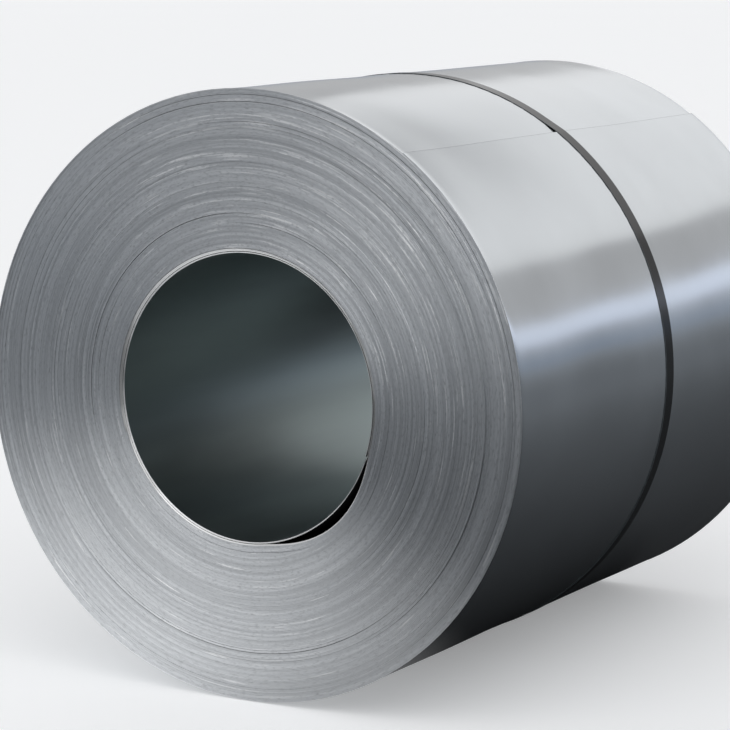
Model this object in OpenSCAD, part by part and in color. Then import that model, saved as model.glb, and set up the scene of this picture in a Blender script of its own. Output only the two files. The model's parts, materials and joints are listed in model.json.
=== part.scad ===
// Steel coil: one strip wound lap on lap round an open eye, lying on its side,
// with a flat steel strap round its middle that is closed by a crimped seal.
// The axis runs along Y, the end with the loose inner lap faces -Y, and the floor is Z = 0.

/* [Coil] */
// Diameter of the eye, the open bore that a mandrel or a lifting hook enters
eye_diameter = 508; // [400:1:762]
// Width of the strip, which is the length of one lap along the axis
strip_width = 1200; // [600:1:1850]
// Thickness of the strip
strip_thickness = 2.5; // [1:0.1:4]
// Number of laps wound on the eye
lap_count = 115; // [40:1:180]

/* [Ends] */
// Furthest that one lap is shifted along the axis from another
telescope = 3; // [1:0.1:8]

/* [Loose inner lap] */
// Widest opening between the innermost lap and the next
gap_opening = 16; // [6:0.5:24]
// Half of the angle over which the innermost lap stands away
gap_half_angle = 31; // [20:1:45]
// Direction of the widest opening, from +X towards +Z
gap_direction = -48; // [-180:1:180]
// How far the opening reaches in from the end
gap_reach = 260; // [50:5:500]

/* [Strap] */
// Width of the strap
strap_width = 32; // [19:1:51]
// Thickness of the strap
strap_thickness = 0.9; // [0.5:0.1:1.5]
// Room between the strap and the outer lap
strap_clearance = 0.3; // [0.1:0.05:0.5]
// Length over which the two ends of the strap lie on each other
strap_overlap = 240; // [120:5:400]

/* [Seal] */
// Length of the seal along the strap
seal_length = 58; // [40:1:80]
// Thickness of the seal's plate
seal_thickness = 1.2; // [0.8:0.1:2]
// Room between the seal and the strap's edges
seal_clearance = 0.3; // [0.1:0.05:0.5]
// Place of the seal round the coil, from +X towards +Z
seal_direction = 150; // [110:1:250]
// Radius of one crimped bite in the seal's edges
crimp_radius = 3.5; // [2:0.1:5]
// Distance between the two rows of crimps
crimp_spacing = 26; // [16:1:36]

/* [Hidden] */
$fn = 180;

// Overrun of every cut past the face that it opens
overrun = 5;

// Bands of the end from the eye to the rim: where each begins, as a share of the laps, and how far
// its laps stand back at the -Y end, as a share of the telescope
band_start_shares = [0, 0.05, 0.12, 0.19, 0.33, 0.36, 0.53, 0.56, 0.77, 0.8, 0.92, 0.94, 0.97];
band_back_shares = [0, 0.6, 1, 0.5, 0.2, 0.6, 0.3, 0, 0.9, 0.5, 0.2, 0.7, 0.4];
// How far single laps stray from their band, and the smallest step, as shares of the telescope
stray_share = 0.5;
step_share = 0.125;
// Turn from lap to lap that spreads the strays evenly
stray_turn = 137.5;

eye_radius = eye_diameter / 2;
coil_radius = eye_radius + lap_count * strip_thickness;
coil_length = strip_width + telescope;

strap_inner_radius = coil_radius + strap_clearance;
strap_outer_radius = strap_inner_radius + strap_thickness;
strap_overlap_angle = angle_of(strap_overlap, strap_outer_radius);

seal_inner_radius = strap_outer_radius + strap_thickness + seal_clearance;
seal_outer_radius = seal_inner_radius + seal_thickness;
seal_inner_half = strap_width / 2 + seal_clearance;
seal_outer_half = seal_inner_half + seal_thickness;
seal_angle = angle_of(seal_length, seal_outer_radius);

// The opening behind the innermost lap is cut by a smaller circle set off the axis
gap_inner_radius = eye_radius + strip_thickness;
gap_offset = gap_opening * (gap_opening + 2 * gap_inner_radius)
    / (2 * (gap_opening + gap_inner_radius * (1 - cos(gap_half_angle))));
gap_radius = gap_inner_radius + gap_opening - gap_offset;

function angle_of(arc, radius) = arc / radius * 180 / PI;

function lap_radius(i) = eye_radius + i * strip_thickness;

// How far lap i stands back at the -Y end. Every lap is as wide as the strip, so one that stands
// back here stands out by as much at the other end.
function band_back_share(share) =
    band_back_shares[len([for (start = band_start_shares) if (start <= share) start]) - 1];
function strayed_share(i, back_share) =
    back_share + stray_share * sin(i * stray_turn) * 4 * back_share * (1 - back_share) / 2;
function stepped_share(back_share) = round(back_share / step_share) * step_share;
function back(i) =
    telescope * stepped_share(strayed_share(i, band_back_share((i + 0.5) / lap_count)));

// Steps of one end as points of radius and height, with one pair wherever two laps differ
function end_steps(height) = [
    [lap_radius(0), height - back(0)],
    for (i = [1 : lap_count - 1])
        if (back(i) != back(i - 1))
            for (lap = [i - 1, i])
                [lap_radius(i), height - back(lap)],
    [lap_radius(lap_count), height - back(lap_count - 1)]
];

function reversed(points) = [for (i = [len(points) - 1 : -1 : 0]) points[i]];

// Lays a form turned about Z on its side, with its top end towards -Y, so that the strap meets the floor
module lie_down() {
    translate([0, 0, strap_outer_radius])
        rotate([90, 0, 0])
            children();
}

// Crescent behind the innermost lap, open at the top end of the turned form
module loose_lap_gap() {
    translate([0, 0, coil_length / 2 - gap_reach])
        difference() {
            rotate([0, 0, gap_direction])
                translate([gap_offset, 0, 0])
                    cylinder(h = gap_reach + overrun, r = gap_radius);
            translate([0, 0, -overrun])
                cylinder(h = gap_reach + 3 * overrun, r = gap_inner_radius);
        }
}

// Flat band on edge, from one radius to another, to be swept round the coil
module band_section(inner, outer, width) {
    translate([inner, -width / 2])
        square([outer - inner, width]);
}

module coil() {
    color("#9ca2a5")
        lie_down()
            difference() {
                rotate_extrude()
                    polygon(concat(
                        end_steps(coil_length / 2),
                        reversed(end_steps(coil_length / 2 - strip_width))
                    ));
                loose_lap_gap();
            }
}

module strap() {
    color("#33383b")
        lie_down() {
            rotate_extrude()
                band_section(strap_inner_radius, strap_outer_radius, strap_width);
            rotate([0, 0, seal_direction - strap_overlap_angle / 2])
                rotate_extrude(angle = strap_overlap_angle)
                    band_section(
                        strap_outer_radius - strap_thickness / 2,
                        strap_outer_radius + strap_thickness,
                        strap_width
                    );
        }
}

// Crimped sleeve that closes over the two ends of the strap
module strap_seal() {
    color("#4a5053")
        lie_down()
            rotate([0, 0, seal_direction])
                difference() {
                    rotate([0, 0, -seal_angle / 2])
                        rotate_extrude(angle = seal_angle)
                            difference() {
                                band_section(strap_inner_radius, seal_outer_radius, 2 * seal_outer_half);
                                band_section(
                                    strap_inner_radius - overrun, seal_inner_radius, 2 * seal_inner_half
                                );
                            }
                    for (row = [-1, 1], side = [-1, 1])
                        translate([0, row * crimp_spacing / 2, side * seal_outer_half])
                            rotate([0, 90, 0])
                                cylinder(h = seal_outer_radius + overrun, r = crimp_radius);
                }
}

coil();
strap();
strap_seal();
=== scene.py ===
"""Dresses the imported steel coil: the wound strip with its laps, the strap and its seal, on a studio floor."""
import json
import math

import bpy
import numpy as np
from bpy.props import FloatProperty, FloatVectorProperty, IntProperty, PointerProperty
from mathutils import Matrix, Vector


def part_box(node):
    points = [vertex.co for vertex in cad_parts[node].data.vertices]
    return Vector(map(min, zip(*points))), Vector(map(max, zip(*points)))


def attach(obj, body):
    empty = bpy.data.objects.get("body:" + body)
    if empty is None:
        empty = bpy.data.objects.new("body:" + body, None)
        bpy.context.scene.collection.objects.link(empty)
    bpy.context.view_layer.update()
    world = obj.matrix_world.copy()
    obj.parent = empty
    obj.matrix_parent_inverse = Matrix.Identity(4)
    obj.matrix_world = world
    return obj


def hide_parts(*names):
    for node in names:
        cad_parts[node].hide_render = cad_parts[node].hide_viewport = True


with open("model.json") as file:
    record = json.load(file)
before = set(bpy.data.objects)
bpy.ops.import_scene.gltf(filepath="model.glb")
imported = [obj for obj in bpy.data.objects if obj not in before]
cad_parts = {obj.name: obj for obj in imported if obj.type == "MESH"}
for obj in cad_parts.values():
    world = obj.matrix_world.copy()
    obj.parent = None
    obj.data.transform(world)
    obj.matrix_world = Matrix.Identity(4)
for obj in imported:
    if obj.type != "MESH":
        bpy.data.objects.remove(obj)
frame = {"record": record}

bl_info = {
    "name": "Steel coil",
    "version": (1, 0, 0),
    "blender": (4, 5, 0),
    "location": "View3D > Sidebar > Steel coil",
    "description": "Builds a strapped coil of cold-rolled steel strip round its CAD frame",
    "category": "Object",
}

MM = 0.001
TURN = 2 * math.pi

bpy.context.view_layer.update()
COIL_LOW, COIL_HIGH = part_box("coil")
STRAP_LOW, STRAP_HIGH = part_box("strap")
EYE = next(mount for mount in frame["record"]["mounts"] if mount["name"] == "eye")
AXIS_HEIGHT = EYE["pos_m"][2]
EYE_RADIUS = EYE["dims"]["r_mm"] * MM
STRIP_WIDTH = EYE["dims"]["length_mm"] * MM
COIL_RADIUS = (COIL_HIGH.x - COIL_LOW.x) / 2
STRAP_WIDTH = STRAP_HIGH.y - STRAP_LOW.y

# materials of the wound strip's faces, in their order on the piece
WRAP, EDGES, EYE_WALL, LIP, PAINTED_SHADE = range(5)

# sizes of the stage, in metres
FLOOR_RADIUS = 80
MAT_HALF = 70
WALL_RADIUS, WALL_HEIGHT = 65, 7


def linear(hex_colour):
    """Linear RGB of an sRGB hex colour."""
    shares = [int(hex_colour[i:i + 2], 16) / 255 for i in (1, 3, 5)]
    return tuple(s / 12.92 if s <= 0.04045 else ((s + 0.055) / 1.055) ** 2.4 for s in shares)


def length_property(name, description, millimetres):
    """A length that is set in metres and written here in millimetres."""
    return FloatProperty(name=name, description=description, default=millimetres * MM,
                         min=0, unit="LENGTH", precision=5)


def angle_property(name, description, degrees):
    """An angle that is set in radians and written here in degrees."""
    return FloatProperty(name=name, description=description, default=math.radians(degrees), unit="ROTATION")


def colour_property(name, description, hex_colour):
    """A linear colour that is written here as an sRGB hex value."""
    return FloatVectorProperty(name=name, description=description, default=linear(hex_colour),
                               size=3, min=0, max=1, subtype="COLOR")


class CoilSettings(bpy.types.PropertyGroup):
    """Sizes and colours of the wound strip."""
    laps: IntProperty(name="Laps", description="Whole laps wound on the eye", default=115, min=10)
    columns: IntProperty(name="Columns", description="Steps of the mesh round one lap", default=128, min=32)
    head_angle: angle_property("Head", "Where the strip begins in the eye, from +X towards +Z", -18.7)
    tail_turn: angle_property("Tail", "Turn from the strip's head to its tail beyond the whole laps", 73.1)
    telescope: length_property("Telescope", "How far bands of laps are shifted along the axis", 2.2)
    stray: length_property("Stray", "How far a single lap strays from its band", 0.3)
    slack: length_property("Slack", "Widest opening between two laps that lie loose on each other", 1.2)
    edge_round: length_property("Edge round", "Rounding of the strip's slit edges", 0.15)
    lip_round: length_property("Lip round", "Rounding of the innermost lap's rubbed edge", 1.3)
    lip_depth: length_property("Lip depth", "How far the edges round the eye are rubbed back", 4)
    lip_laps: FloatProperty(name="Lip laps", description="Laps round the eye whose edges are rubbed", default=3.1)
    # the line along the strip's tail is painted shade
    tail_edge: length_property("Tail edge", "Width of the oily line along the strip's tail", 0.3)
    groove: length_property("Groove", "Depth of the groove between two laps", 0.22)
    slot_depth: length_property("Slot depth", "Depth that shows behind the loose inner lap", 240)
    slot_far: length_property("Far slot depth", "Depth behind the loose inner lap all round and on the far end", 12)
    slot_width: length_property("Slot width", "Room behind the loose inner lap all round", 0.6)
    gap_opening: length_property("Gap", "Widest opening behind the loose inner lap", 16)
    gap_angle: angle_property("Gap direction", "Direction of the widest opening, from +X towards +Z", -48)
    gap_half: angle_property("Gap half angle", "Half of the angle that the opening takes up", 33)
    gap_laps: FloatProperty(name="Gap laps", description="Laps over which the opening dies out", default=34)
    edge_lift: length_property("Edge lift", "How far the outer lap's edges stand up", 0.6)
    edge_reach: length_property("Edge reach", "Width over which the outer lap's edges stand up", 14)
    wave: length_property("Wave", "Height of the shallow waves in the outermost and innermost laps", 1)
    wrap_colour: colour_property("Wrap", "Bright rolled face of the strip", "#cfd3d6")
    edge_colour: colour_property("Edges", "Slit edges on the ends", "#dfe1e3")
    edge_shade: colour_property("Edge shade", "Oil and dirt in the slit edges", "#c8cacc")
    lip_colour: colour_property("Lip", "Rubbed edge of the innermost lap", "#f0f1f1")
    # the innermost lap's face is darker and greener than the wrap
    eye_colour: colour_property("Eye", "Oiled face of the innermost lap", "#96a1a1")
    # the near black in the gap is painted shade
    gap_shade_colour: colour_property("Oil", "Old oil in the gap behind the loose lap", "#141617")


class StrapSettings(bpy.types.PropertyGroup):
    """Sizes and colours of the strap and its seal."""
    thickness: length_property("Thickness", "Thickness of the strap", 0.9)
    clearance: length_property("Clearance", "Room between the strap and the outer lap", 0.05)
    overlap: length_property("Overlap", "Length over which the strap's ends lie on each other", 240)
    seal_angle: angle_property("Seal", "Place of the seal, from +X towards +Z", 150)
    seal_length: length_property("Seal length", "Length of the seal along the strap", 58)
    seal_plate: length_property("Seal plate", "Thickness of the seal's plate", 1.2)
    crimp_spacing: length_property("Crimps", "Distance between the two rows of crimps", 26)
    crimp_depth: length_property("Crimp depth", "How far a crimp bites into the seal's edge", 3.2)
    strap_colour: colour_property("Strap", "Black wax on the strap", "#090a0b")
    scuff_colour: colour_property("Scuffs", "Steel where the wax has rubbed off", "#43484b")
    seal_colour: colour_property("Seal", "Dark wax on the seal", "#4b5154")


class StageSettings(bpy.types.PropertyGroup):
    """Camera, floor and light."""
    camera_place: FloatVectorProperty(name="Camera", description="Place of the camera", size=3,
                                      default=(2.724, -4.939, 1.363), subtype="TRANSLATION")
    camera_yaw: angle_property("Yaw", "Turn of the view from +Y towards -X", 29.769)
    camera_pitch: angle_property("Pitch", "How far the view looks down", 8.463)
    camera_lens: FloatProperty(name="Lens", description="Focal length on a 36 mm sensor, in mm", default=146.5)
    floor_colour: colour_property("Floor", "Pale matte floor", "#ecedee")
    floor_glow: FloatProperty(name="Floor glow", description="How much paler the floor is seen", default=0.3)
    air_colour: colour_property("Air", "Soft light from all round", "#c4c4c5")
    key_strength: FloatProperty(name="Key", description="Strength of the soft key light", default=1.12)
    key_spread: angle_property("Key spread", "Angle that the soft key light takes up in the sky", 84)
    key_towards: FloatVectorProperty(name="Key direction", description="Direction towards the soft key light",
                                     size=3, default=(0.34, -0.73, 0.59), subtype="DIRECTION")
    # colour of the painted haze reflection at the glowing wall's foot
    painted_haze_colour: colour_property("Haze", "Far wall's foot, as the steel sees it", "#93a0b2")


def settings():
    """Settings of the coil, of the strap and of the stage."""
    return bpy.context.scene.steel_coil, bpy.context.scene.steel_strap, bpy.context.scene.steel_stage


def add_node(tree, kind, values=(), links=(), **options):
    """Adds a shader node with its options, its socket values and the nodes or sockets linked into it."""
    node = tree.nodes.new("ShaderNode" + kind)
    for name, value in options.items():
        setattr(node, name, value)

    def socket(key):
        return node.inputs[key] if isinstance(key, int) else next(
            entry for entry in node.inputs if entry.enabled and entry.name == key)

    for key, value in dict(values).items():
        socket(key).default_value = value
    for key, source in dict(links).items():
        if isinstance(source, bpy.types.Node):
            source = next(entry for entry in source.outputs if entry.enabled)
        tree.links.new(source, socket(key))
    return node


def opaque(colour, share=1):
    """A colour, made lighter or darker by a share, with full alpha."""
    return (*(min(1, c * share) for c in colour), 1)


def new_material(name):
    """A node material without nodes, and its tree."""
    material = bpy.data.materials.new(name)
    material.use_nodes = True
    material.node_tree.nodes.clear()
    return material, material.node_tree


def add_wound_coordinates(tree, arc_length, radial_length):
    """Coordinates that run round the coil's axis without a seam: arc_length and radial_length are the sizes,
    in metres, of one cell along a lap and across the laps, and Y is along the axis at the radial size."""
    place = add_node(tree, "TexCoord").outputs["Object"]
    from_axis = add_node(tree, "VectorMath", {1: (0, 0, AXIS_HEIGHT)}, {0: place}, operation="SUBTRACT")
    flat = add_node(tree, "VectorMath", {1: (1, 0, 1)}, {0: from_axis}, operation="MULTIPLY")
    radius = add_node(tree, "VectorMath", links={0: flat}, operation="LENGTH").outputs["Value"]
    around = add_node(tree, "VectorMath", links={0: flat}, operation="NORMALIZE")
    turns = (EYE_RADIUS + COIL_RADIUS) / 2 / arc_length
    spun = add_node(tree, "VectorMath", {1: (turns, 0, turns)}, {0: around}, operation="MULTIPLY")
    along = add_node(tree, "SeparateXYZ", links={0: from_axis}).outputs["Y"]
    depth = add_node(tree, "Math", links={0: radius, 1: along}, operation="ADD")
    reach = add_node(tree, "Math", {1: radial_length}, {0: depth}, operation="DIVIDE")
    offset = add_node(tree, "CombineXYZ", links={1: reach})
    return add_node(tree, "VectorMath", links={0: spun, 1: offset}, operation="ADD")


def rolled_wrap_steel(coil):
    """Cold-rolled steel, bright and lightly oiled: a mirror blurred by the fine lines that the rolls leave along
    the strip, with a film of oil that makes broad soft patches."""
    material, tree = new_material("cold_rolled_steel_bright")
    # roll lines are some hundredths of a millimetre apart, drawn 3 mm wide so that they show
    lines = add_node(tree, "TexNoise", {"Scale": 1, "Detail": 3}, {
        "Vector": add_wound_coordinates(tree, 900 * MM, 3 * MM)})
    film = add_node(tree, "TexNoise", {"Scale": 1 / (260 * MM), "Detail": 3}, {
        "Vector": add_node(tree, "TexCoord").outputs["Object"]})
    share = add_node(tree, "MapRange", {"From Min": 0.35, "From Max": 0.7}, {"Value": film})
    tone = add_node(tree, "Mix", {"A": opaque(coil.wrap_colour, 0.89), "B": opaque(coil.wrap_colour)},
                    {"Factor": share}, data_type="RGBA")
    gloss = add_node(tree, "MapRange", {"To Min": 0.12, "To Max": 0.24}, {"Value": film})
    bump = add_node(tree, "Bump", {"Strength": 0.05, "Distance": 0.05 * MM}, {"Height": lines})
    shader = add_node(tree, "BsdfPrincipled", {"Metallic": 1}, {
        "Base Color": tone, "Roughness": gloss, "Normal": bump})
    add_node(tree, "OutputMaterial", links={"Surface": shader})
    return material


def slit_edge_steel(coil):
    """Slit edges of the strip, lap on lap: sheared steel whose scratches run along the laps, so light spreads
    across the laps and the end shows bright and dark sectors, with fine lines where single laps differ, and a
    painted highlight that brightens the arcs towards the upper right."""
    material, tree = new_material("slit_edge_steel")
    # laps that differ, and arcs of brighter shear along them; a lap is 2.5 mm thick, and both are drawn nearly
    # two laps wide so that they show
    laps = add_node(tree, "TexNoise", {"Scale": 1, "Detail": 1}, {
        "Vector": add_wound_coordinates(tree, 600 * MM, 5 * MM)})
    arcs = add_node(tree, "TexNoise", {"Scale": 1, "Detail": 1}, {
        "Vector": add_wound_coordinates(tree, 110 * MM, 4 * MM)})
    # shear grain of about a tenth of a millimetre, drawn a lap wide so that it shows
    grain = add_node(tree, "TexNoise", {"Scale": 1, "Detail": 2}, {
        "Vector": add_wound_coordinates(tree, 9 * MM, 3 * MM)})
    lap_share = add_node(tree, "MapRange", {"From Min": 0.3, "From Max": 0.7}, {"Value": laps})
    # painted highlight: the arcs of shear grow brighter towards 60 degrees from +X towards +Z, where the end's
    # upper bright sector falls
    place = add_node(tree, "TexCoord").outputs["Object"]
    from_axis = add_node(tree, "VectorMath", {1: (0, 0, AXIS_HEIGHT)}, {0: place}, operation="SUBTRACT")
    toward = add_node(tree, "VectorMath", {1: (0.5, 0, 0.87)}, {0: from_axis}, operation="DOT_PRODUCT")
    painted_highlight_sector = add_node(tree, "MapRange", {
        "From Min": COIL_RADIUS * 0.2, "From Max": COIL_RADIUS * 0.75, "To Max": 0.09},
        {"Value": toward.outputs["Value"]})
    wear_and_painted_light = add_node(tree, "Math", links={0: arcs, 1: painted_highlight_sector}, operation="ADD")
    arc_share = add_node(tree, "MapRange", {"From Min": 0.65, "From Max": 0.8}, {"Value": wear_and_painted_light})
    grain_share = add_node(tree, "MapRange", {"From Min": 0.5, "From Max": 0.8}, {"Value": grain})
    by_lap = add_node(tree, "Mix", {"A": opaque(coil.edge_shade), "B": opaque(coil.edge_colour)},
                      {"Factor": lap_share}, data_type="RGBA")
    by_arc = add_node(tree, "Mix", {"B": opaque(coil.edge_colour, 1.35)},
                      {"Factor": arc_share, "A": by_lap}, data_type="RGBA")
    tone = add_node(tree, "Mix", {"B": opaque(coil.edge_shade, 0.89)},
                    {"Factor": grain_share, "A": by_arc}, data_type="RGBA")
    gloss = add_node(tree, "MapRange", {"To Min": 0.29, "To Max": 0.37}, {"Value": laps})
    tangent = add_node(tree, "Tangent", direction_type="RADIAL", axis="Y")
    shader = add_node(tree, "BsdfPrincipled", {"Metallic": 1, "Anisotropic": 0.78, "Anisotropic Rotation": 0.25}, {
        "Base Color": tone, "Roughness": gloss, "Tangent": tangent})
    add_node(tree, "OutputMaterial", links={"Surface": shader})
    return material


def rubbed_lip_steel(coil):
    """Innermost laps' edges, rubbed round and bright by the hooks that lift the coil: satin, with rubbed patches,
    and with painted light that makes them a pale line above and below, fading into painted shade on both sides."""
    material, tree = new_material("rubbed_lip_steel")
    wear = add_node(tree, "TexNoise", {"Scale": 1, "Detail": 2}, {
        "Vector": add_wound_coordinates(tree, 120 * MM, 8 * MM)})
    # painted light and shade: paler above and below the eye, darker at its sides, as the end's bright and dark
    # sectors fall
    place = add_node(tree, "TexCoord").outputs["Object"]
    from_axis = add_node(tree, "VectorMath", {1: (0, 0, AXIS_HEIGHT)}, {0: place}, operation="SUBTRACT")
    upright = add_node(tree, "SeparateXYZ", links={0: from_axis}).outputs["Z"]
    height = add_node(tree, "Math", links={0: upright}, operation="ABSOLUTE")
    painted_light_above_below = add_node(tree, "MapRange", {"From Max": EYE_RADIUS * 0.9, "To Min": -0.3, "To Max": 0.3},
                      {"Value": height})
    wear_and_painted_light = add_node(tree, "Math", links={0: wear, 1: painted_light_above_below}, operation="ADD")
    share = add_node(tree, "MapRange", {"From Min": 0.25, "From Max": 0.65}, {"Value": wear_and_painted_light})
    tone = add_node(tree, "Mix", {"A": opaque(coil.lip_colour, 0.4), "B": opaque(coil.lip_colour)},
                    {"Factor": share}, data_type="RGBA")
    shader = add_node(tree, "BsdfPrincipled", {"Metallic": 1, "Roughness": 0.5}, {"Base Color": tone})
    add_node(tree, "OutputMaterial", links={"Surface": shader})
    return material


def oiled_eye_steel(coil):
    """Innermost lap: darker and greener than the wrap, with broad soft smears along the axis."""
    material, tree = new_material("oiled_eye_steel")
    smear = add_node(tree, "TexNoise", {"Scale": 1, "Detail": 2}, {
        "Vector": add_wound_coordinates(tree, 140 * MM, 520 * MM)})
    share = add_node(tree, "MapRange", {"From Min": 0.3, "From Max": 0.7}, {"Value": smear})
    tone = add_node(tree, "Mix", {"A": opaque(coil.eye_colour, 0.82), "B": opaque(coil.eye_colour, 1.06)},
                    {"Factor": share}, data_type="RGBA")
    gloss = add_node(tree, "MapRange", {"To Min": 0.3, "To Max": 0.46}, {"Value": smear})
    shader = add_node(tree, "BsdfPrincipled", {"Metallic": 1}, {"Base Color": tone, "Roughness": gloss})
    add_node(tree, "OutputMaterial", links={"Surface": shader})
    return material


def painted_gap_shade(coil):
    """Painted shade in the gap behind the loose lap and along the strip's tail: dull and nearly black, so the gap
    reads as deep.
    """
    material, tree = new_material("old_oil_on_steel")
    shader = add_node(tree, "BsdfPrincipled", {
        "Base Color": opaque(coil.gap_shade_colour), "Roughness": 0.7, "Specular IOR Level": 0.2})
    add_node(tree, "OutputMaterial", links={"Surface": shader})
    return material


def waxed_strap_steel(strap):
    """Black waxed steel strapping: black seen square on and as bright as its surroundings at a low angle,
    with small dull scuffs."""
    material, tree = new_material("black_waxed_strapping_steel")
    scuffs = add_node(tree, "TexNoise", {"Scale": 1, "Detail": 4, "Roughness": 0.65}, {
        "Vector": add_wound_coordinates(tree, 45 * MM, 3 * MM)})
    # the wax is rubbed through along both edges, which are drawn paler also to lift the dark line of shade along
    # the strap's side: part wear, part painted light
    along = add_node(tree, "SeparateXYZ", links={0: add_node(tree, "TexCoord").outputs["Object"]}).outputs["Y"]
    aside = add_node(tree, "Math", links={0: along}, operation="ABSOLUTE")
    half = STRAP_WIDTH / 2
    edge = add_node(tree, "MapRange", {"From Min": half - 1.5 * MM, "From Max": half - 0.3 * MM, "To Max": 0.5},
                    {"Value": aside})
    wear_and_painted_light = add_node(tree, "Math", links={0: scuffs, 1: edge}, operation="ADD")
    share = add_node(tree, "MapRange", {"From Min": 0.67, "From Max": 0.84}, {"Value": wear_and_painted_light})
    tone = add_node(tree, "Mix", {"A": opaque(strap.strap_colour), "B": opaque(strap.scuff_colour)},
                    {"Factor": share}, data_type="RGBA")
    gloss = add_node(tree, "MapRange", {"To Min": 0.1, "To Max": 0.24}, {"Value": scuffs})
    shader = add_node(tree, "BsdfPrincipled", {"IOR": 1.33}, {"Base Color": tone, "Roughness": gloss})
    add_node(tree, "OutputMaterial", links={"Surface": shader})
    return material


def waxed_seal_steel(strap):
    """Dark waxed seal, crimped: a dull dark grey, a little paler than the strap, with a faint bloom."""
    material, tree = new_material("dark_waxed_seal_steel")
    bloom = add_node(tree, "TexNoise", {"Scale": 1 / (7 * MM), "Detail": 3}, {
        "Vector": add_node(tree, "TexCoord").outputs["Object"]})
    share = add_node(tree, "MapRange", {"From Min": 0.35, "From Max": 0.7}, {"Value": bloom})
    tone = add_node(tree, "Mix", {"A": opaque(strap.seal_colour), "B": opaque(strap.seal_colour, 1.6)},
                    {"Factor": share}, data_type="RGBA")
    gloss = add_node(tree, "MapRange", {"To Min": 0.32, "To Max": 0.5}, {"Value": bloom})
    shader = add_node(tree, "BsdfPrincipled", links={"Base Color": tone, "Roughness": gloss})
    add_node(tree, "OutputMaterial", links={"Surface": shader})
    return material


def pale_floor(stage):
    """Matte painted studio floor, which the eye, the steel and glass see a little paler than the lamps make it."""
    material, tree = new_material("matte_floor_paint")
    path = add_node(tree, "LightPath")
    seen = add_node(tree, "Math", links={0: path.outputs["Is Camera Ray"], 1: path.outputs["Is Glossy Ray"]},
                    operation="ADD")
    seen = add_node(tree, "Math", links={0: seen, 1: path.outputs["Is Transmission Ray"]}, operation="ADD",
                    use_clamp=True)
    glow = add_node(tree, "Math", {1: stage.floor_glow}, {0: seen}, operation="MULTIPLY")
    shader = add_node(tree, "BsdfPrincipled", {
        "Base Color": opaque(stage.floor_colour), "Roughness": 0.9, "Specular IOR Level": 0.1,
        "Emission Color": opaque(stage.floor_colour)}, {"Emission Strength": glow})
    add_node(tree, "OutputMaterial", links={"Surface": shader})
    return material


def painted_reflection_floor():
    """Painted reflection on the floor that only the steel sees: painted shade, dark along the coil and paler
    further out, and a pale sheet before the near end that glows, a painted reflection that throws light up at it."""
    material, tree = new_material("dark_floor_cloth")
    place = add_node(tree, "TexCoord").outputs["Object"]
    across = add_node(tree, "SeparateXYZ", links={0: place}).outputs["X"]
    # the painted shade reaches further out on the +X side; distances are in metres
    left = add_node(tree, "Math", {1: -2.5}, {0: across}, operation="MULTIPLY")
    aside = add_node(tree, "Math", links={0: across, 1: left}, operation="MAXIMUM")
    near_share = add_node(tree, "MapRange", {"From Min": 0.1, "From Max": 2.2}, {"Value": aside})
    far_share = add_node(tree, "MapRange", {"From Min": 3, "From Max": 16}, {"Value": aside})
    near = add_node(tree, "Mix", {"A": opaque(linear("#2e2f30")), "B": opaque(linear("#82868a"))},
                    {"Factor": near_share}, data_type="RGBA")
    painted_shade_tone = add_node(tree, "Mix", {"B": opaque(linear("#b4b8bc"))}, {"Factor": far_share, "A": near},
                     data_type="RGBA")
    # the glowing sheet, a painted reflection, is an oval with a soft edge
    spot = add_node(tree, "VectorMath", {1: (1.13, 0.83, 0)}, {0: place}, operation="ADD")
    oval = add_node(tree, "VectorMath", {1: (0.56, 0.8, 0)}, {0: spot}, operation="MULTIPLY")
    away = add_node(tree, "VectorMath", links={0: oval}, operation="LENGTH")
    sheet = add_node(tree, "MapRange", {"From Min": 0.42, "From Max": 0.96, "To Min": 1, "To Max": 0},
                     {"Value": away}, interpolation_type="SMOOTHSTEP")
    pale = opaque(linear("#ecedee"))
    tone = add_node(tree, "Mix", {"B": opaque(linear("#b4b5b6"))}, {"Factor": sheet, "A": painted_shade_tone}, data_type="RGBA")
    glow = add_node(tree, "Math", {1: 0.86}, {0: sheet}, operation="MULTIPLY")
    shader = add_node(tree, "BsdfPrincipled", {"Roughness": 0.95, "Specular IOR Level": 0, "Emission Color": pale},
                      {"Base Color": tone, "Emission Strength": glow})
    add_node(tree, "OutputMaterial", links={"Surface": shader})
    return material


def painted_reflection_wall(stage):
    """Glowing wall that only the steel sees, a painted reflection of a far hall wall: hazy blue at its foot and as
    pale as the air at its top.
    """
    material, tree = new_material("hazy_far_wall")
    place = add_node(tree, "TexCoord").outputs["Object"]
    height = add_node(tree, "SeparateXYZ", links={0: place}).outputs["Z"]
    # the painted haze thins out between these heights, in metres
    share = add_node(tree, "MapRange", {"From Min": 1.2, "From Max": 6.4}, {"Value": height})
    tone = add_node(tree, "Mix", {"A": opaque(stage.painted_haze_colour), "B": opaque(stage.air_colour)},
                    {"Factor": share}, data_type="RGBA")
    shader = add_node(tree, "Emission", links={"Color": tone})
    add_node(tree, "OutputMaterial", links={"Surface": shader})
    return material


def smooth_noise(random, spacing, count, height):
    """A smooth curve of count samples through random heights that lie spacing samples apart."""
    knots = random.uniform(-height, height, int(count / spacing) + 3)
    place = np.arange(count) / spacing
    first = place.astype(int)
    share = place - first
    share = share * share * (3 - 2 * share)
    return knots[first] * (1 - share) + knots[first + 1] * share


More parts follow.
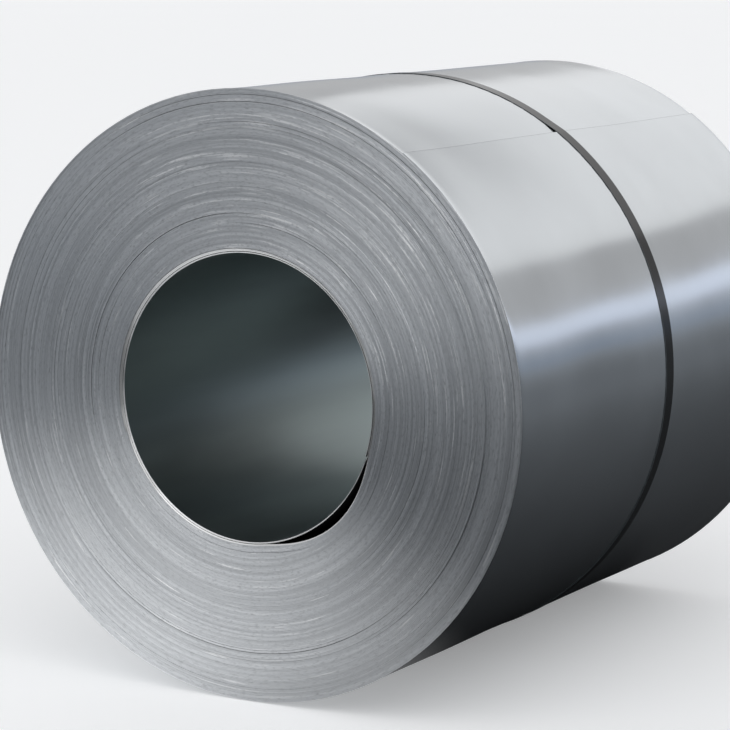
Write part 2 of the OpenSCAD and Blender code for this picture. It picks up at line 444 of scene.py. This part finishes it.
def new_piece(name, vertices, faces, materials, face_materials=None, sharp=30):
    """A mesh object with smooth faces, and creases that are sharper than an angle in degrees."""
    mesh = bpy.data.meshes.new(name)
    mesh.from_pydata(vertices, [], faces)
    for material in materials:
        mesh.materials.append(material)
    if face_materials is not None:
        mesh.polygons.foreach_set("material_index", np.asarray(face_materials, "int32"))
    mesh.polygons.foreach_set("use_smooth", np.ones(len(mesh.polygons), bool))
    mesh.set_sharp_from_angle(angle=math.radians(sharp))
    mesh.update()
    piece = bpy.data.objects.new(name, mesh)
    bpy.context.collection.objects.link(piece)
    return piece


def on_coil(angle, radius, along):
    """Points at an angle and radius about the coil's axis, at a place along it."""
    return np.stack([radius * np.cos(angle), along + 0 * angle, AXIS_HEIGHT + radius * np.sin(angle)], axis=-1)


def outer_wave(coil, angle, along):
    """Shallow waves of the outermost and innermost laps, fading out towards the edges and the strap."""
    edge_fade = np.clip((STRIP_WIDTH / 2 - np.abs(along)) / (120 * MM), 0, 1)
    strap_fade = np.clip(np.abs(along) / (150 * MM), 0.1, 1)
    waves = (np.sin(2 * angle + along * TURN / 0.9 + 0.6) + 0.7 * np.sin(5 * angle - along * TURN / 0.52 + 2.1)
             + 0.45 * np.sin(9 * angle + along * TURN / 0.37 + 4.0))
    return coil.wave * (edge_fade * strap_fade) * (waves - 1.5) / 2


def winding(coil):
    """Steps of the strip from its head to its tail, the room that one lap takes, and the tail's angle."""
    steps = coil.laps * coil.columns + round(coil.tail_turn / TURN * coil.columns)
    thickness = (COIL_RADIUS - EYE_RADIUS) / (steps / coil.columns + 1)
    return steps, thickness, coil.head_angle + (steps % coil.columns) * TURN / coil.columns


def strap_bed(coil, strap, angle):
    """Inner radius of the strap: it lies on the outer lap and runs straight over the step at the strip's tail."""
    _, thickness, tail = winding(coil)
    past_tail = (np.asarray(angle) - tail) % TURN
    low = COIL_RADIUS - thickness
    bridged = math.acos(low / COIL_RADIUS)
    on_lap = low + thickness * past_tail / TURN
    return np.maximum(on_lap, low / np.cos(np.clip(bridged - past_tail, 0, bridged))) + strap.clearance


class OBJECT_OT_wound_strip(bpy.types.Operator):
    """Winds the strip lap on lap from its head in the eye to its tail on the outside"""
    bl_idname = "steel_coil.wound_strip"
    bl_label = "Wound strip"

    def execute(self, context):
        coil = context.scene.steel_coil
        random = np.random.default_rng(11)
        columns = coil.columns
        steps, thickness, _ = winding(coil)
        count = steps + 1

        # the whole strip as one run of steps; ring k is its inner side and ring k + columns its outer side
        ring = np.arange(steps + columns + 1)
        angle = coil.head_angle + ring * TURN / columns
        # the last steps leave room for a narrow one along the tail's edge
        angle[-8:-1] = np.linspace(angle[-8], angle[-1] - coil.tail_edge / COIL_RADIUS, 7)
        lap = ring / columns
        radius = EYE_RADIUS + thickness * lap

        back = self.set_back(coil, random, count, lap)
        rubbed = np.clip(1 - lap[:count] / coil.lip_laps, 0, 1) * coil.lip_depth
        slope = coil.lip_depth / (coil.lip_laps * 2) * (lap[:count] < coil.lip_laps - 0.5)
        tilt = smooth_noise(random, columns * 0.45, count, 0.02) * thickness + slope
        slack = self.lap_slack(coil, random, angle, lap / lap[-1])
        turn_from_gap = (angle - coil.gap_angle + math.pi) % TURN - math.pi
        opening = coil.slot_width + coil.gap_opening * np.cos(
            np.clip(turn_from_gap / coil.gap_half, -1, 1) * math.pi / 2) ** 1.4
        push = opening * np.clip(1 - (lap - 1) / coil.gap_laps, 0, 1) * (lap >= 1)

        inner_side, outer_side = ring[:count], ring[columns:]
        rounding = coil.edge_round
        first_round = np.where(lap[:count] < 1, coil.lip_round, rounding)
        first_radius = radius[inner_side] + push[inner_side] + first_round + slack[inner_side] / 2
        last_radius = (radius[outer_side] - rounding - slack[outer_side] / 2
                       + np.where(lap[:count] < 1, 0, push[inner_side]))
        lifted = coil.edge_lift * (lap[:count] > steps / columns - 1)
        # between two loose laps the groove is many times as deep as the laps lie apart
        groove = coil.groove + 8 * slack
        # the slot behind the inner lap has its full depth where it is open this far
        open_far = 3 * MM
        ends = []
        for sign in (-1, 1):
            inward = -sign
            face = sign * STRIP_WIDTH / 2 + back - coil.telescope / 2 + inward * rubbed
            ring_face = np.empty(len(ring))
            ring_face[:columns] = face[:columns] + inward * coil.lip_round
            ring_face[steps + 1:] = face[steps + 1 - columns:] + inward * rounding
            between = slice(columns, steps + 1)
            deeper = np.maximum if inward > 0 else np.minimum
            ring_face[between] = deeper(face[between], face[:count - columns]) + inward * groove[between]
            slot = slice(columns, 2 * columns)
            wide = np.clip((opening[slot] - coil.slot_width) / open_far, 0, 1)
            ring_face[slot] += inward * (coil.slot_far + (coil.slot_depth if sign < 0 else 0) * wide)
            ring_radius = radius + 0.5 * push * (lap < 2) + push * (lap >= 2)
            ring_radius[steps + 1:] += coil.edge_lift
            ends.append({
                "ring": on_coil(angle, ring_radius, ring_face),
                "first": on_coil(angle[:count], first_radius, face - sign * tilt),
                "last": on_coil(angle[outer_side], last_radius + lifted, face + sign * tilt),
            })

        vertices, faces, kinds = self.strip_mesh(coil, ends, angle, radius, steps, columns)
        piece = new_piece("wound_strip", vertices, faces, [
            rolled_wrap_steel(coil), slit_edge_steel(coil), oiled_eye_steel(coil), rubbed_lip_steel(coil),
            painted_gap_shade(coil)], kinds, 20)
        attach(piece, "root")
        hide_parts("coil")
        return {"FINISHED"}

    @staticmethod
    def set_back(coil, random, count, lap):
        """How far each step of the strip is shifted along the axis: bands of laps, and laps that stray."""
        starts = np.array([0, 0.012, 0.05, 0.12, 0.19, 0.33, 0.36, 0.53, 0.56, 0.77, 0.8, 0.92, 0.94, 0.97])
        shifts = np.array([0, 0.3, 0.6, 1, 0.5, 0.2, 0.6, 0.3, 0.05, 0.9, 0.5, 0.2, 0.7, 0.4])
        share = lap[:count] / lap[count - 1]
        band = shifts[np.searchsorted(starts, share, side="right") - 1]
        blur = np.ones(coil.columns // 3) / (coil.columns // 3)
        band = np.convolve(np.pad(band, len(blur) // 2, mode="edge"), blur, mode="same")[
            len(blur) // 2:len(blur) // 2 + count]
        stray = smooth_noise(random, coil.columns * 0.6, count, coil.stray)
        flutter = smooth_noise(random, coil.columns * 0.11, count, coil.stray * 0.3)
        return coil.telescope * band + stray + flutter

    @staticmethod
    def lap_slack(coil, random, angle, share):
        """Room between each lap and the one below it: a few loose laps, each over part of its way round."""
        slack = np.zeros(len(angle))
        # share of the laps, width, and the middle and half of the stretch, in degrees from +X towards +Z
        for place, width, middle, half in ((0.245, 0.8, 140, 60), (0.185, 0.6, 57, 40), (0.694, 0.6, 265, 50),
                                           (0.694, 0.4, 42, 30), (0.793, 0.5, 57, 45), (0.915, 0.6, 70, 55),
                                           (0.955, 0.5, 60, 70), (0.07, 0.4, 250, 60), (0.5, 0.3, 200, 50),
                                           (0.0265, 0.6, 110, 90), (0.989, 0.5, 140, 55)):
            near = np.clip(1 - (2 * (share - place) * coil.laps / 1.05) ** 4, 0, 1)
            aside = np.abs((angle - math.radians(middle) + math.pi) % TURN - math.pi) / math.radians(half)
            slack += width * near * np.clip(3 * (1 - aside), 0, 1)
        open_laps = np.clip(smooth_noise(random, coil.columns * 0.4, len(angle), 1) - 0.7, 0, 1)
        return coil.slack * np.clip(slack + 0.5 * open_laps, 0, 1)

    @staticmethod
    def strip_mesh(coil, ends, angle, radius, steps, columns):
        """Vertices, faces and each face's material."""
        blocks, faces, kinds = [], [], []
        total = 0

        def keep(points):
            nonlocal total
            blocks.append(points)
            total += len(points)
            return np.arange(total - len(points), total)

        def quads(a, b, c, d, kind):
            faces.extend(np.stack([a, b, c, d], axis=-1).tolist())
            kinds.extend(np.broadcast_to(kind, len(a)).tolist())

        rows = []
        for end, sign in zip(ends, (-1, 1)):
            ring, first, last = keep(end["ring"]), keep(end["first"]), keep(end["last"])
            rows.append((ring, first, last))
            step = np.arange(steps)
            lip = np.where(step < (coil.lip_laps - 0.5) * columns, LIP, EDGES)
            # the slot walls behind the loose inner lap are painted shade
            behind, beyond = np.where(step < columns, PAINTED_SHADE, EDGES), np.where(step // columns == 1, PAINTED_SHADE, lip)
            for a, b, kind in ((ring[:steps + 1], first, beyond), (first, last, lip),
                               (last, ring[columns:], behind)):
                near = (a[:-1], b[:-1], b[1:], a[1:])
                quads(*(near if sign < 0 else near[::-1]), kind)

        def wall(start, shares, rise, kind, outward):
            """Rows from end to end over one lap from the ring start; gives back the two ends of each row, where the
            strip's cut end is closed.
            """
            lap_rings = np.arange(start, start + columns + 1)
            grid = [rows[0][0][lap_rings]]
            near, far = (end["ring"][lap_rings, 1] for end in ends)
            for share in shares:
                along = near + (far - near) * share
                depth = STRIP_WIDTH / 2 - np.abs(along)
                raised = rise * np.clip(1 - depth / coil.edge_reach, 0, 1) ** 2
                lift = raised + outer_wave(coil, angle[lap_rings], along)
                grid.append(keep(on_coil(angle[lap_rings], radius[lap_rings] + lift, along)))
            grid.append(rows[1][0][lap_rings])
            for a, b in zip(grid[:-1], grid[1:]):
                sides = (a[:-1], a[1:], b[1:], b[:-1])
                quads(*(sides[::-1] if outward else sides), kind)
            return [(row[0], row[-1]) for row in grid]

        # rows lie closer together where the outer lap's edges stand up
        near_rows = np.array([1.5, 4, 8, 13, 19, 26, 35, 50, 75]) * MM / STRIP_WIDTH
        wrap_shares = np.concatenate([near_rows, np.linspace(0.09, 0.91, 24), 1 - near_rows[::-1]])
        eye_shares = np.linspace(0.03, 0.97, 20)
        eye_seam = wall(0, eye_shares, 0, EYE_WALL, False)
        # the narrow last step along the tail is a line of painted shade
        wrap_kinds = np.where(np.arange(columns) == columns - 1, PAINTED_SHADE, WRAP)
        wrap_seam = wall(steps, wrap_shares, coil.edge_lift, wrap_kinds, True)

        # the strip's own cut end faces, in the eye and on the outside
        for seam, k, forward in ((eye_seam, 0, False), (wrap_seam, steps, True)):
            low, high = zip(*seam)
            for i in range(len(seam) - 1):
                face = [low[i], low[i + 1], high[i + 1], high[i]]
                if i == 0:
                    face += [rows[0][2][k], rows[0][1][k]]
                elif i == len(seam) - 2:
                    face[2:2] = [rows[1][1][k], rows[1][2][k]]
                faces.append(face[::-1] if forward else face)
                kinds.append(EDGES)
        return np.concatenate(blocks), faces, kinds


def swept_band(sections):
    """Vertices and faces of a closed band through sections of equal point count, with flat ends."""
    count, points = len(sections), len(sections[0])
    vertices = np.concatenate(sections)
    faces = []
    for i in range(count - 1):
        for j in range(points):
            a, b = i * points + j, i * points + (j + 1) % points
            faces.append([a, a + points, b + points, b])
    faces.append(list(range(points)))
    faces.append(list(range((count - 1) * points, count * points))[::-1])
    return vertices, faces


class OBJECT_OT_strap(bpy.types.Operator):
    """Lays the steel strap round the coil's middle, its ends over each other"""
    bl_idname = "steel_coil.strap"
    bl_label = "Strap"

    def execute(self, context):
        coil, strap, _ = settings()
        lapped = strap.overlap / COIL_RADIUS
        start = strap.seal_angle - lapped / 2
        angles = np.linspace(start, start + TURN + lapped, 420)
        # over its own first end the strap rises by its thickness, along a short ramp
        ramp, room = 0.06, 0.05 * MM
        rise = np.clip((angles - start - TURN + ramp) / ramp, 0, 1)
        rise = rise * rise * (3 - 2 * rise) * (strap.thickness + room)
        inner = strap_bed(coil, strap, angles) + rise
        half, bevel = STRAP_WIDTH / 2, 0.2 * MM
        section = [(-half, bevel), (-half + bevel, 0), (half - bevel, 0), (half, bevel),
                   (half, strap.thickness - bevel), (half - bevel, strap.thickness),
                   (-half + bevel, strap.thickness), (-half, strap.thickness - bevel)]
        sections = [np.array([on_coil(a, radius + h, y) for y, h in section]) for a, radius in zip(angles, inner)]
        piece = new_piece("strap_band", *swept_band(sections), [waxed_strap_steel(strap)])
        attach(piece, "root")
        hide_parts("strap")
        return {"FINISHED"}


class OBJECT_OT_strap_seal(bpy.types.Operator):
    """Crimps the seal over the strap's two ends"""
    bl_idname = "steel_coil.strap_seal"
    bl_label = "Strap seal"

    def execute(self, context):
        coil, strap, _ = settings()
        floor = strap_bed(coil, strap, strap.seal_angle)
        room = 0.3 * MM
        top = 2 * strap.thickness + room
        half = STRAP_WIDTH / 2 + room
        plate = strap.seal_plate
        bend = 1.1 * MM
        outer, inner = [], []
        for turn in np.radians([0, 30, 60, 90]):
            outer.append((half + plate - (bend + plate) * (1 - math.cos(turn)),
                          top + plate - (bend + plate) * (1 - math.sin(turn))))
            inner.append((half - bend * (1 - math.cos(turn)), top - bend * (1 - math.sin(turn))))
        foot = 0.05 * MM
        right = [(half + plate, foot), *outer]
        left = [(-y, h) for y, h in reversed(right)]
        under = [(half, foot), *inner]
        section = right + left + [(-y, h) for y, h in under] + list(reversed(under))
        arc = strap.seal_length / (floor + top)
        # a crimp's width along the strap, how far it reaches in from the edge, and how far it lifts the plate
        crimp_width, crimp_reach, crimp_lift = 2.6 * MM, 9 * MM, 0.12
        sections = []
        for share in np.linspace(-0.5, 0.5, 61):
            place = share * strap.seal_length
            bite = math.exp(-((abs(place) - strap.crimp_spacing / 2) / crimp_width) ** 2) * strap.crimp_depth
            ring = []
            for y, h in section:
                pinch = bite * max(0, abs(y) - (half - crimp_reach)) / crimp_reach
                ring.append(on_coil(strap.seal_angle + share * arc, floor + h + pinch * crimp_lift * (h > foot),
                                    y - math.copysign(pinch, y)))
            sections.append(np.array(ring))
        piece = new_piece("crimped_seal", *swept_band(sections), [waxed_seal_steel(strap)])
        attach(piece, "root")
        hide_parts("strap_seal")
        return {"FINISHED"}


def area_lamp(name, shape, centre, aim, width, height, radiance, colour=(1, 1, 1)):
    """Soft box of a given radiance, facing a point; it is seen in the steel and not by the camera."""
    lamp = bpy.data.lights.new(name, "AREA")
    lamp.shape = shape
    lamp.size, lamp.size_y = width, height
    lamp.energy = radiance * math.pi * width * height * (math.pi / 4 if shape == "ELLIPSE" else 1)
    lamp.color = colour
    holder = bpy.data.objects.new(name, lamp)
    holder.location = centre
    holder.rotation_euler = (Vector(aim) - Vector(centre)).to_track_quat("-Z", "Y").to_euler()
    holder.visible_camera = False
    bpy.context.collection.objects.link(holder)


class OBJECT_OT_stage(bpy.types.Operator):
    """Sets the floor, the light and the camera"""
    bl_idname = "steel_coil.stage"
    bl_label = "Stage"

    def execute(self, context):
        scene = context.scene
        stage = scene.steel_stage
        scene.view_settings.view_transform = "Standard"

        turn = np.linspace(0, TURN, 97)[:-1]
        points = [(FLOOR_RADIUS * math.cos(a), FLOOR_RADIUS * math.sin(a), 0) for a in turn]
        floor = new_piece("studio_floor", points, [list(range(len(points)))], [pale_floor(stage)])

        world = bpy.data.worlds.new("soft_air")
        world.use_nodes = True
        tree = world.node_tree
        tree.nodes.clear()
        air = add_node(tree, "Background", {"Color": opaque(stage.air_colour), "Strength": 1})
        add_node(tree, "OutputWorld", links={"Surface": air.outputs["Background"]})
        scene.world = world

        sun = bpy.data.lights.new("soft_key", "SUN")
        sun.energy = stage.key_strength
        sun.angle = stage.key_spread
        holder = bpy.data.objects.new("soft_key", sun)
        holder.rotation_euler = (-Vector(stage.key_towards)).to_track_quat("-Z", "Y").to_euler()
        context.collection.objects.link(holder)

        area_lamp("back_softbox", "ELLIPSE", centre=(0.12, 5.2, 3.05), aim=(0.12, 0, 3.05),
                  width=5.65, height=1.9, radiance=0.51)
        area_lamp("horizon_strip", "RECTANGLE", centre=(2.9, 6.0, 1.345), aim=(0, 0, AXIS_HEIGHT),
                  width=2.8, height=0.47, radiance=0.72, colour=linear("#d5e3ff"))

        # only the steel sees these two: painted shade and glow on the floor, and a glowing wall that paints a hazy
        # reflection
        corners = [(x * MAT_HALF, y * MAT_HALF, MM) for x, y in ((-1, -1), (1, -1), (1, 1), (-1, 1))]
        mat = new_piece("floor_mat", corners, [[0, 1, 2, 3]], [painted_reflection_floor()])
        count = len(turn)
        points = [(WALL_RADIUS * math.cos(a), WALL_RADIUS * math.sin(a), z) for z in (0, WALL_HEIGHT) for a in turn]
        sides = [[i, (i + 1) % count, count + (i + 1) % count, count + i] for i in range(count)]
        wall = new_piece("hall_wall", points, sides, [painted_reflection_wall(stage)])
        for reflected in (mat, wall):
            reflected.visible_camera = reflected.visible_diffuse = reflected.visible_shadow = False

        camera_data = bpy.data.cameras.new("photo_view")
        camera_data.sensor_width = 36
        camera_data.lens = stage.camera_lens
        camera = bpy.data.objects.new("photo_view", camera_data)
        camera.location = stage.camera_place
        camera.rotation_euler = (math.pi / 2 - stage.camera_pitch, 0, stage.camera_yaw)
        context.collection.objects.link(camera)
        scene.camera = camera
        return {"FINISHED"}


class VIEW3D_PT_steel_coil(bpy.types.Panel):
    """Lists the pieces and their settings"""
    bl_label = "Steel coil"
    bl_idname = "VIEW3D_PT_steel_coil"
    bl_space_type = "VIEW_3D"
    bl_region_type = "UI"
    bl_category = "Steel coil"

    def draw(self, context):
        for group in settings():
            box = self.layout.box()
            for name in group.__annotations__:
                box.prop(group, name)
        for operator in OPERATORS:
            self.layout.operator(operator.bl_idname)


OPERATORS = (OBJECT_OT_wound_strip, OBJECT_OT_strap, OBJECT_OT_strap_seal, OBJECT_OT_stage)
CLASSES = (CoilSettings, StrapSettings, StageSettings, *OPERATORS, VIEW3D_PT_steel_coil)


def register():
    for cls in CLASSES:
        bpy.utils.register_class(cls)
    bpy.types.Scene.steel_coil = PointerProperty(type=CoilSettings)
    bpy.types.Scene.steel_strap = PointerProperty(type=StrapSettings)
    bpy.types.Scene.steel_stage = PointerProperty(type=StageSettings)


def unregister():
    del bpy.types.Scene.steel_coil, bpy.types.Scene.steel_strap, bpy.types.Scene.steel_stage
    for cls in reversed(CLASSES):
        bpy.utils.unregister_class(cls)


def main():
    register()
    bpy.ops.steel_coil.wound_strip()
    bpy.ops.steel_coil.strap()
    bpy.ops.steel_coil.strap_seal()
    bpy.ops.steel_coil.stage()


if __name__ == "__main__":
    main()
